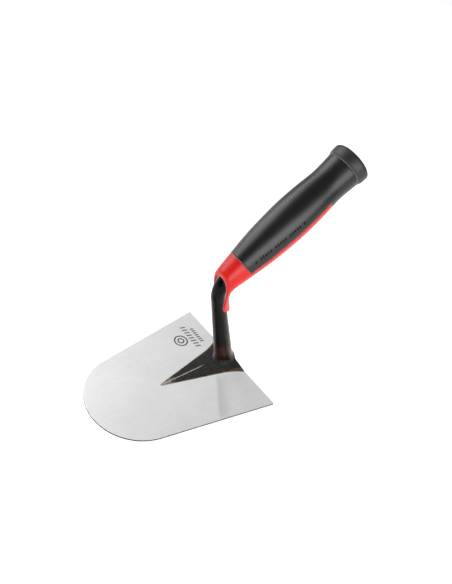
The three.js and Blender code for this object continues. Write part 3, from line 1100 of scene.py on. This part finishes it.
@dataclass
class Blade:
    """The flat blade: a straight heel, tapered sides and a round nose."""

    heel_width: float = 119.0 * MM
    side_taper: float = math.radians(9.7)
    corner_round: float = 0.8 * MM
    edge_round: float = 0.14 * MM
    nose_steps: int = 96

    def build(self) -> bpy.types.Object:
        """Builds the blade and dresses it."""
        low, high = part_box("blade")
        length = high.x - low.x
        half = self.heel_width / 2.0
        slope = math.sin(self.side_taper)
        from_heel = (length - half * math.cos(self.side_taper)) / (1.0 - slope)
        radius = length - from_heel
        centre = Vector((high.x - from_heel, 0.0, low.z))
        plate = bmesh.new()
        first = centre + radius * Vector((-slope, math.cos(self.side_taper), 0.0))
        start = plate.verts.new(first)
        bmesh.ops.spin(
            plate,
            geom=[start],
            cent=centre,
            axis=UP,
            angle=math.pi - 2.0 * self.side_taper,
            steps=self.nose_steps,
        )
        plate.verts.ensure_lookup_table()
        finish = plate.verts[-1]
        near = plate.verts.new((high.x, -half, low.z))
        far = plate.verts.new((high.x, half, low.z))
        for pair in ((finish, near), (near, far), (far, start)):
            plate.edges.new(pair)
        bmesh.ops.contextual_create(plate, geom=plate.edges[:])
        grown = bmesh.ops.extrude_face_region(plate, geom=plate.faces[:])["geom"]
        lifted = [item for item in grown if isinstance(item, bmesh.types.BMVert)]
        bmesh.ops.translate(plate, vec=UP * (high.z - low.z), verts=lifted)
        bmesh.ops.recalc_face_normals(plate, faces=plate.faces[:])
        self._soften(plate, high.x)
        piece = piece_of("trowel_blade", plate)
        limit = max(face.area for face in piece.data.polygons) / 2.0
        for face in piece.data.polygons:
            face.use_smooth = face.area < limit
        return dress(piece, "blade_steel", "blade", BladeSteel().material())

    def _soften(self, plate: bmesh.types.BMesh, heel: float) -> None:
        """Rounds the heel's corners, then every edge of both faces."""

        def upright(edge: bmesh.types.BMEdge) -> bool:
            """Whether an edge stands at a corner of the heel."""
            a, b = (vert.co for vert in edge.verts)
            return abs(a.z - b.z) > self.edge_round and min(a.x, b.x) > heel - 0.01 * MM

        steps = (
            ([edge for edge in plate.edges if upright(edge)], self.corner_round, 4),
            (None, self.edge_round, 3),
        )
        for edges, offset, segments in steps:
            if edges is None:
                edges = [
                    edge
                    for edge in plate.edges
                    if abs(edge.verts[0].co.z - edge.verts[1].co.z) < 0.01 * MM
                ]
            bmesh.ops.bevel(
                plate,
                geom=edges,
                offset=offset,
                offset_type="OFFSET",
                affect="EDGES",
                segments=segments,
                profile=0.5,
                material=-1,
            )


@dataclass
class Shank:
    """The forging: a ridged foot on the blade, a root, the neck, and the tang in the handle."""

    foot_length: float = 73.0 * MM
    tip_half: float = 0.8 * MM
    foot_half: float = 17.6 * MM
    flare: float = 3.6 * MM
    flare_length: float = 19.0 * MM
    rim: float = 0.4 * MM
    crest: float = 3.6 * MM
    crest_growth: float = 1.3
    sunk: float = 0.5 * MM
    root_height: float = 22.0 * MM
    root_fade: float = 4.0 * MM
    root_front: float = 3.0 * MM
    root_rear: float = 15.0 * MM
    root_wide: float = 1.6 * MM
    neck_low: float = 7.4 * MM
    neck_high: float = 5.6 * MM
    tang: float = 3.5 * MM
    head: float = 4.6 * MM
    head_height: float = 1.4 * MM
    root_passes: int = 80
    sides: int = 48

    def build(self) -> bpy.types.Object:
        """Builds the forging and dresses it."""
        bodies = [self._foot(), self._root(), self._neck(), self._tang()]
        named = [piece_of(f"shank_{i}", body) for i, body in enumerate(bodies)]
        piece = merged("trowel_shank", named)
        skinned(piece, 0.39 * MM, 5)
        heel, top = PLAN.heel, PLAN.blade_top

        def near_root(point: Vector) -> float:
            """1 where the neck spreads into the foot, 0 at the blade and up the neck."""
            low = eased((point.z - top - 1.5 * MM) / (3.0 * MM))
            high = eased((30.0 * MM - point.z) / (10.0 * MM))
            back = eased((heel - point.x - 0.4 * MM) / (1.5 * MM))
            return low * high * back

        softened(piece, near_root, self.root_passes)
        return dress(piece, "shank_lacquer", "shank", ShankLacquer().material())

    def _foot(self) -> bmesh.types.BMesh:
        """An arrowhead with a ridge, run a little into the blade."""
        foot = bmesh.new()
        bmesh.ops.create_cube(foot, size=1.0)
        bmesh.ops.subdivide_edges(
            foot, edges=foot.edges[:], cuts=25, use_grid_fill=True
        )
        tip_x, top_z = PLAN.heel - self.foot_length, PLAN.blade_top
        for vert in foot.verts:
            along, side, level = vert.co.x + 0.5, 2.0 * vert.co.y, vert.co.z + 0.5
            ahead = along * self.foot_length
            half = self.tip_half + (self.foot_half - self.tip_half) * along
            into = max(0.0, ahead - self.foot_length + self.flare_length)
            half += self.flare * (into / self.flare_length) ** 2
            slope = 1.0 - abs(side)
            top = self.rim + self.crest * along**self.crest_growth * slope
            vert.co = (
                tip_x + ahead,
                side * half,
                top_z - self.sunk + (top + self.sunk) * level,
            )
        return foot

    def _root(self) -> bmesh.types.BMesh:
        """Level rings up the leaning neck, wide where they meet the foot."""
        rings = []
        count = 26
        for i in range(count + 1):
            height = -self.sunk + (self.root_height + self.sunk) * i / count
            spread = math.exp(-max(height, 0.0) / self.root_fade)
            middle = PLAN.neck_base.x - height * math.tan(PLAN.neck_lean)
            long = self.neck_low / math.cos(PLAN.neck_lean) + self.root_front * spread
            wide = self.neck_low + self.root_wide * spread
            centre = Vector((middle, 0.0, PLAN.blade_top + height))
            rings.append(ring_place(centre, UP, long, wide))
        root = swept(rings, self.sides)
        for vert in root.verts:
            height = vert.co.z - PLAN.blade_top
            middle = PLAN.neck_base.x - height * math.tan(PLAN.neck_lean)
            if vert.co.x > middle:
                spread = math.exp(-max(height, 0.0) / self.root_fade)
                base = self.neck_low / math.cos(PLAN.neck_lean)
                share = (vert.co.x - middle) / (base + self.root_front * spread)
                vert.co.x = middle + share * (base + self.root_rear * spread)
        return halved(root, Vector((PLAN.heel, 0.0, 0.0)), Vector((1.0, 0.0, 0.0)))

    def radius_at(self, run: float, below: float) -> float:
        """The neck's radius, by distance run from a start below the corner."""
        low = PLAN.neck_length - self.root_height
        down = min(max(below - run, PLAN.bend_tangent), low)
        share = (down - PLAN.bend_tangent) / (low - PLAN.bend_tangent)
        return self.neck_high + (self.neck_low - self.neck_high) * share

    def _neck(self) -> bmesh.types.BMesh:
        """From inside the root, round the bend, to the tang's shoulder."""
        return self.neck_bar(0.0, PLAN.collar_length - 1.3 * MM)

    def neck_bar(self, margin: float, end: float) -> bmesh.types.BMesh:
        """The neck, larger all round by a margin, up to an end beyond the corner."""
        below = PLAN.neck_length - self.root_height / 2.0
        rings = []
        for run, point, heading in PLAN.line(below, end):
            radius = self.radius_at(run, below) + margin
            rings.append(ring_place(point, heading, radius, radius))
        return swept(rings, self.sides)

    def _tang(self) -> bmesh.types.BMesh:
        """The tang and its riveted head, inside the handle."""
        end = GRIP.length + 4.0 * MM + 0.3 * MM + 1.2 * MM + 0.3 * MM + self.head_height
        profile = [
            (-PLAN.collar_length / 2.0, 0.0),
            (-PLAN.collar_length / 2.0, self.tang),
            (end - self.head_height, self.tang),
            (end - self.head_height, self.head),
            (end, self.head),
            (end, 0.0),
        ]
        return placed(turned(profile, self.sides), PLAN.handle_place)


@dataclass
class HandleCore:
    """The red core: a collar with a tongue behind the neck, and the panel under the grip."""

    tip: float = 8.3 * MM
    bend: float = 8.9 * MM
    gap: float = 0.6 * MM
    swell: float = 10.0 * MM
    tongue_reach: float = 30.0 * MM
    tongue_slant: float = 8.0 * MM
    tongue_paddle: float = 18.0 * MM
    waist: float = 11.0 * MM
    mouth_low: float = -1.1 * MM
    mouth_waist: float = 1.0 * MM
    mouth_high: float = 4.8 * MM
    mouth_top: float = 11.0 * MM
    bore: float = 3.8 * MM
    spigot: float = 11.0 * MM
    spigot_length: float = 4.0 * MM
    overlap: float = 1.0 * MM
    mouth_passes: int = 42
    mouth_zone: float = 4.0 * MM
    sides: int = 96

    def _near_mouth(self) -> Callable[[Vector], float]:
        """The weight that rounds the mouth's edge, from the neck's own frame."""
        into_neck = PLAN.neck_place.inverted()
        slope = (self.mouth_high - self.mouth_waist) / (self.mouth_top + self.waist)

        def weight(point: Vector) -> float:
            """1 on the mouth's plane, 0 beyond its zone and on the tongue's end."""
            local = into_neck @ point
            if local.z < -self.waist:
                return 0.0
            edge = self.mouth_high + (local.z - self.mouth_top) * slope
            if local.z > self.mouth_top + self.mouth_zone:
                return 0.0
            above = max(0.0, local.z - self.mouth_top)
            return eased(1.0 - (abs(local.x - edge) - above) / self.mouth_zone)

        return weight

    def build(self) -> bpy.types.Object:
        """Builds the core and dresses it."""
        collar = piece_of("collar", self._collar())
        work(collar, Join.CUT, piece_of("mouth", self._mouth()))
        hollow = Shank().neck_bar(self.gap, PLAN.collar_length)
        work(collar, Join.CUT, piece_of("hollow", hollow))
        others = [piece_of("panel", self._panel()), piece_of("inner", self._inner())]
        piece = merged("handle_red_core", [collar, *others])
        skinned(piece, 0.51 * MM, 3)
        softened(piece, self._near_mouth(), self.mouth_passes)
        return dress(piece, "core_plastic", "handle_core", RedPlastic().material())

    def _collar(self) -> bmesh.types.BMesh:
        """The collar's outside, swept along the neck, the bend and the handle."""
        line = PLAN.line(self.tongue_reach, PLAN.collar_length)
        length = line[-1][0]
        middle = (length + self.tongue_reach - PLAN.collar_length) / 2.0
        rings = []
        for run, point, heading in line:
            swell = eased((run - self.swell) / (middle - self.swell))
            widening = min(max((run - middle) / (length - middle), 0.0), 1.0)
            radius = self.tip + (self.bend - self.tip) * swell
            radius += (GRIP.front - self.bend) * widening
            rings.append(ring_place(point, heading, radius, radius))
        return swept(rings, self.sides)

    def _mouth(self) -> bmesh.types.BMesh:
        """What is cut away in front of the neck."""
        far = 3.0 * GRIP.belly
        outline = [
            (self.tip, -self.tongue_reach),
            (self.mouth_low, self.tongue_slant - self.tongue_reach),
            (self.mouth_low, -self.tongue_paddle),
            (self.mouth_waist, -self.waist),
            (self.mouth_high, self.mouth_top),
            (-far, self.mouth_top + far),
            (-far, -self.tongue_reach - far),
            (self.tip, -self.tongue_reach - far),
        ]
        tool = bmesh.new()
        verts = [tool.verts.new((x, -far, z)) for x, z in outline]
        tool.faces.new(verts)
        grown = bmesh.ops.extrude_face_region(tool, geom=tool.faces[:])["geom"]
        lifted = [item for item in grown if isinstance(item, bmesh.types.BMVert)]
        bmesh.ops.translate(tool, vec=ACROSS * (2.0 * far), verts=lifted)
        bmesh.ops.recalc_face_normals(tool, faces=tool.faces[:])
        return placed(tool, PLAN.neck_place)

    def _panel(self) -> bmesh.types.BMesh:
        """The part of the core that shows under the grip."""
        shown = [pair for pair in GRIP.outline() if 0.0 < pair[0] < GRIP.panel_end]
        end_radius = GRIP.radius_at(GRIP.panel_end)
        profile = [
            (-self.overlap, self.bore),
            (-self.overlap, GRIP.front - 0.2 * MM),
            *shown,
            (GRIP.panel_end, end_radius),
            (GRIP.panel_end, self.bore),
        ]
        panel = turned(profile, self.sides)
        cut = Vector((-GRIP.panel_rise, 0.0, 0.0))
        return placed(halved(panel, cut, Vector((-1.0, 0.0, 0.0))), PLAN.handle_place)

    def _inner(self) -> bmesh.types.BMesh:
        """The part inside the sleeve, with the spigot that holds the cap."""
        inset = GRIP.wall + 0.3 * MM
        end = GRIP.length + self.spigot_length
        outline = [(x, radius - inset) for x, radius in GRIP.outline() if x > 0.0]
        profile = [
            (-self.overlap, self.bore),
            (-self.overlap, GRIP.front - inset),
            *outline,
            (GRIP.length, self.spigot),
            (end, self.spigot),
            (end, self.bore),
        ]
        return placed(turned(profile, self.sides), PLAN.handle_place)


@dataclass
class GripSleeve:
    """The soft grip over the core, with two rows of moulded ticks."""

    gap: float = 0.12 * MM
    side_row: tuple[float, float] = (8.0 * MM, 53.0 * MM)
    side_angle: tuple[float, float] = (math.radians(31.0), math.radians(24.0))
    top_row: tuple[float, float] = (55.0 * MM, 85.0 * MM)
    top_angle: tuple[float, float] = (math.radians(99.0), math.radians(108.0))
    pitch: float = 2.2 * MM
    stroke: float = 0.8 * MM
    rise: float = 0.45 * MM

    def build(self) -> bpy.types.Object:
        """Builds the sleeve with its ticks and dresses it."""
        outline = [(x, radius) for x, radius in GRIP.outline() if x > self.gap]
        start = (self.gap, GRIP.front)
        inner = [(x, radius - GRIP.wall) for x, radius in [start, *outline]]
        shell = turned([start, *outline, *reversed(inner)], GRIP.sides)
        piece = piece_of("grip_sleeve_soft", placed(shell, PLAN.handle_place))
        reach = 2.0 * GRIP.belly
        space = block(
            Vector((-GRIP.panel_rise - self.gap, -reach, -reach)),
            Vector((reach, reach, GRIP.panel_end + self.gap)),
        )
        work(piece, Join.CUT, piece_of("space", placed(space, PLAN.handle_place)))
        skinned(piece, 0.48 * MM, 3)
        rows = ((self.side_row, self.side_angle, 2.2, 1), (self.top_row, self.top_angle, 1.6, 2))
        ticks = bmesh.new()
        ticks.from_mesh(piece.data)
        for (first, last), (from_angle, to_angle), tall, finish in rows:
            count = round((last - first) / self.pitch)
            for i in range(count + 1):
                if i % 6 == 1:
                    continue
                share = i / count
                along = first + (last - first) * share
                angle = from_angle + (to_angle - from_angle) * share
                self._tick(ticks, along, angle, tall * MM, finish)
        ticks.to_mesh(piece.data)
        ticks.free()
        materials = (
            GripRubber().material(),
            GripRubber("tick_dark", (0.004,) * 3, (0.006,) * 3, 0.7, 0.85, 0.03).material(),
            GripRubber("tick_light", (0.05,) * 3, (0.07,) * 3).material(),
        )
        return dress(piece, "grip_rubber", "grip_sleeve", *materials)

    def _tick(
        self, ticks: bmesh.types.BMesh, along: float, angle: float, tall: float, finish: int
    ) -> None:
        """Adds one small rounded bar.

        Args:
            ticks: The mesh that takes it.
            along: Its place along the handle.
            angle: Its place round the handle, from the near side to the top.
            tall: Its height round the handle.
            finish: The index of its material.
        """
        outward = Vector((-math.sin(angle), -math.cos(angle), 0.0))
        around = Vector((-math.cos(angle), math.sin(angle), 0.0))
        handle = Vector((0.0, 0.0, 1.0))
        slant = (handle * 0.35 + around).normalized()
        flat = slant.cross(outward)
        centre = handle * along + outward * GRIP.radius_at(along)
        turn = Matrix(
            (flat * self.stroke, slant * tall, outward * 2.0 * self.rise)
        ).transposed()
        place = PLAN.handle_place @ Matrix.Translation(centre) @ turn.to_4x4()
        made = bmesh.ops.create_cube(ticks, size=1.0, matrix=place)["verts"]
        faces = {face for vert in made for face in vert.link_faces}
        for face in faces:
            face.material_index = finish
            face.smooth = True
        bmesh.ops.bevel(
            ticks,
            geom=list({edge for vert in made for edge in vert.link_edges}),
            offset=0.12 * MM,
            offset_type="OFFSET",
            affect="EDGES",
            segments=2,
            profile=0.5,
            material=-1,
        )


@dataclass
class ButtCap:
    """The hard cap on the handle's end."""

    length: float = 10.8 * MM
    radius: float = 16.6 * MM
    front: float = 15.6 * MM
    shoulder: float = 2.2 * MM
    groove: float = 0.35 * MM
    edge_round: float = 3.0 * MM
    crown: float = 0.5 * MM
    pocket: float = 11.3 * MM
    pocket_depth: float = 7.5 * MM
    sides: int = 160

    def build(self) -> bpy.types.Object:
        """Builds the cap and dresses it."""
        start = GRIP.length + 0.3 * MM
        end = GRIP.length + self.length
        lip = start + self.shoulder
        flank_end = end - self.edge_round
        profile = [
            (start + self.pocket_depth, 0.0),
            (start + self.pocket_depth, self.pocket),
            (start, self.pocket),
            (start, self.front - 0.3 * MM),
            (start + 0.3 * MM, self.front),
            (lip - 0.5 * MM, self.radius - 0.55 * MM),
            (lip - 0.2 * MM, self.radius - 0.35 * MM),
            (lip + 0.15 * MM, self.radius - 0.26 * MM),
            (lip + 1.2 * MM, self.radius - 0.16 * MM),
            (flank_end - 1.0 * MM, self.radius - 0.02 * MM),
        ]
        for i in range(9):
            angle = i / 8 * math.pi / 2.0
            profile.append(
                (
                    flank_end + (self.edge_round - self.crown) * math.sin(angle),
                    self.radius - self.edge_round * (1.0 - math.cos(angle)),
                )
            )
        rim = profile[-1]
        for i in range(1, 7):
            share = i / 6
            profile.append(
                (rim[0] + self.crown * math.sin(share * math.pi / 2.0), rim[1] * (1.0 - share))
            )
        cap = placed(turned(profile, self.sides), PLAN.handle_place)
        piece = piece_of("handle_butt_cap", cap)
        piece.data.shade_smooth()
        piece.data.set_sharp_from_angle(angle=math.radians(40.0))
        return dress(piece, "cap_plastic", "butt_cap", CapPlastic().material())


@dataclass
class Washer:
    """The washer under the tang's head, hidden in the cap: the CAD node itself."""

    node: str = "tang_washer"

    def build(self) -> bpy.types.Object:
        """Dresses the CAD node."""
        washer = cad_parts[self.node]
        washer.data.materials.clear()
        washer.data.materials.append(ZincPlate().material())
        return washer


# ---- Studio ----


@dataclass
class Studio:
    """The floor, the soft lights and the camera."""

    target: tuple[float, float, float] = (38.6 * MM, 0.0, 86.1 * MM)
    azimuth: float = math.radians(-49.6)
    elevation: float = math.radians(39.46)
    roll: float = math.radians(17.05)
    distance: float = 491.1 * MM
    lens: float = 40.07
    ambient: float = 0.1

    def build(self) -> None:
        """Sets the whole studio up."""
        self._floor()
        self._world()
        self._softboxes()
        self._camera()

    def _floor(self) -> None:
        """A wide white floor under the blade."""
        sheet = bmesh.new()
        bmesh.ops.create_grid(sheet, x_segments=2, y_segments=2, size=6.0)
        floor = piece_of("floor", placed(sheet, Matrix.Translation((0.0, 0.0, -0.05 * MM))))
        floor.data.materials.append(Paper().material())

    def _world(self) -> None:
        """Even light from all round."""
        world = bpy.data.worlds.new("studio")
        world.use_nodes = True
        back = next(n for n in world.node_tree.nodes if n.type == "BACKGROUND")
        back.inputs["Color"].default_value = (1.0, 1.0, 1.0, 1.0)
        back.inputs["Strength"].default_value = self.ambient
        bpy.context.scene.world = world

    def _softboxes(self) -> None:
        """Three panels: name, direction, distance, width, height and brightness."""
        panels = (
            ("far_panel", (0.588, 0.50, 0.64), 1.6, 2.2, 1.7, 0.68),
            ("near_strip", (-0.25, -0.89, 0.38), 1.1, 1.4, 0.6, 6.6),
            ("left_panel", (-0.34, 0.80, 0.50), 1.2, 1.2, 0.9, 5.2),
        )
        for name, direction, distance, width, height, brightness in panels:
            light = bpy.data.lights.new(name, "AREA")
            light.shape = "RECTANGLE"
            light.size = width
            light.size_y = height
            light.energy = brightness * math.pi * width * height
            lamp = bpy.data.objects.new(name, light)
            bpy.context.scene.collection.objects.link(lamp)
            away = Vector(direction).normalized()
            lamp.location = Vector(self.target) + away * distance
            lamp.rotation_mode = "QUATERNION"
            lamp.rotation_quaternion = (-away).to_track_quat("-Z", "Y")

    def _flag(self) -> None:
        """A dark card that only shows as a soft band in the blade."""
        card = bmesh.new()
        bmesh.ops.create_grid(card, x_segments=1, y_segments=1, size=0.5)
        turn = Matrix.Rotation(math.atan2(-0.86, -0.51), 4, "Z")
        shape = Matrix.Diagonal((0.5, 0.045, 1.0)).to_4x4()
        place = Matrix.Translation((0.53, 0.30, 0.73))
        flag = piece_of("flag", placed(card, place @ turn @ shape))
        coat = Coat("flag_cloth")
        coat.set(Base_Color=(0.05, 0.05, 0.05), Roughness=0.9)
        flag.data.materials.append(coat.material)
        flag.visible_camera = False
        flag.visible_shadow = False
        flag.visible_diffuse = False

    def _camera(self) -> None:
        """The camera, turned about its own axis as the view asks."""
        flat = math.cos(self.elevation)
        back = Vector(
            (
                math.sin(self.azimuth) * flat,
                -math.cos(self.azimuth) * flat,
                math.sin(self.elevation),
            )
        )
        level = (-back).cross(UP).normalized()
        rise = level.cross(-back)
        right = level * math.cos(self.roll) + rise * math.sin(self.roll)
        top = rise * math.cos(self.roll) - level * math.sin(self.roll)
        data = bpy.data.cameras.new("camera")
        data.lens = self.lens
        data.sensor_width = 36.0
        data.sensor_fit = "AUTO"
        camera = bpy.data.objects.new("camera", data)
        bpy.context.scene.collection.objects.link(camera)
        turn = Matrix((right, top, back)).transposed().to_4x4()
        where = Vector(self.target) + back * self.distance
        camera.matrix_world = Matrix.Translation(where) @ turn
        bpy.context.scene.camera = camera


def main() -> None:
    """Builds the trowel piece by piece, then the studio."""
    logging.basicConfig(level=logging.INFO, format="%(relativeCreated)d ms %(name)s: %(message)s")
    for part in (Blade(), Shank(), HandleCore(), GripSleeve(), ButtCap(), Washer()):
        piece = part.build()
        LOG.info("%s: %d faces", piece.name, len(piece.data.polygons))
    bpy.context.scene.view_settings.view_transform = "Standard"
    Studio().build()


if __name__ == "__main__":
    main()
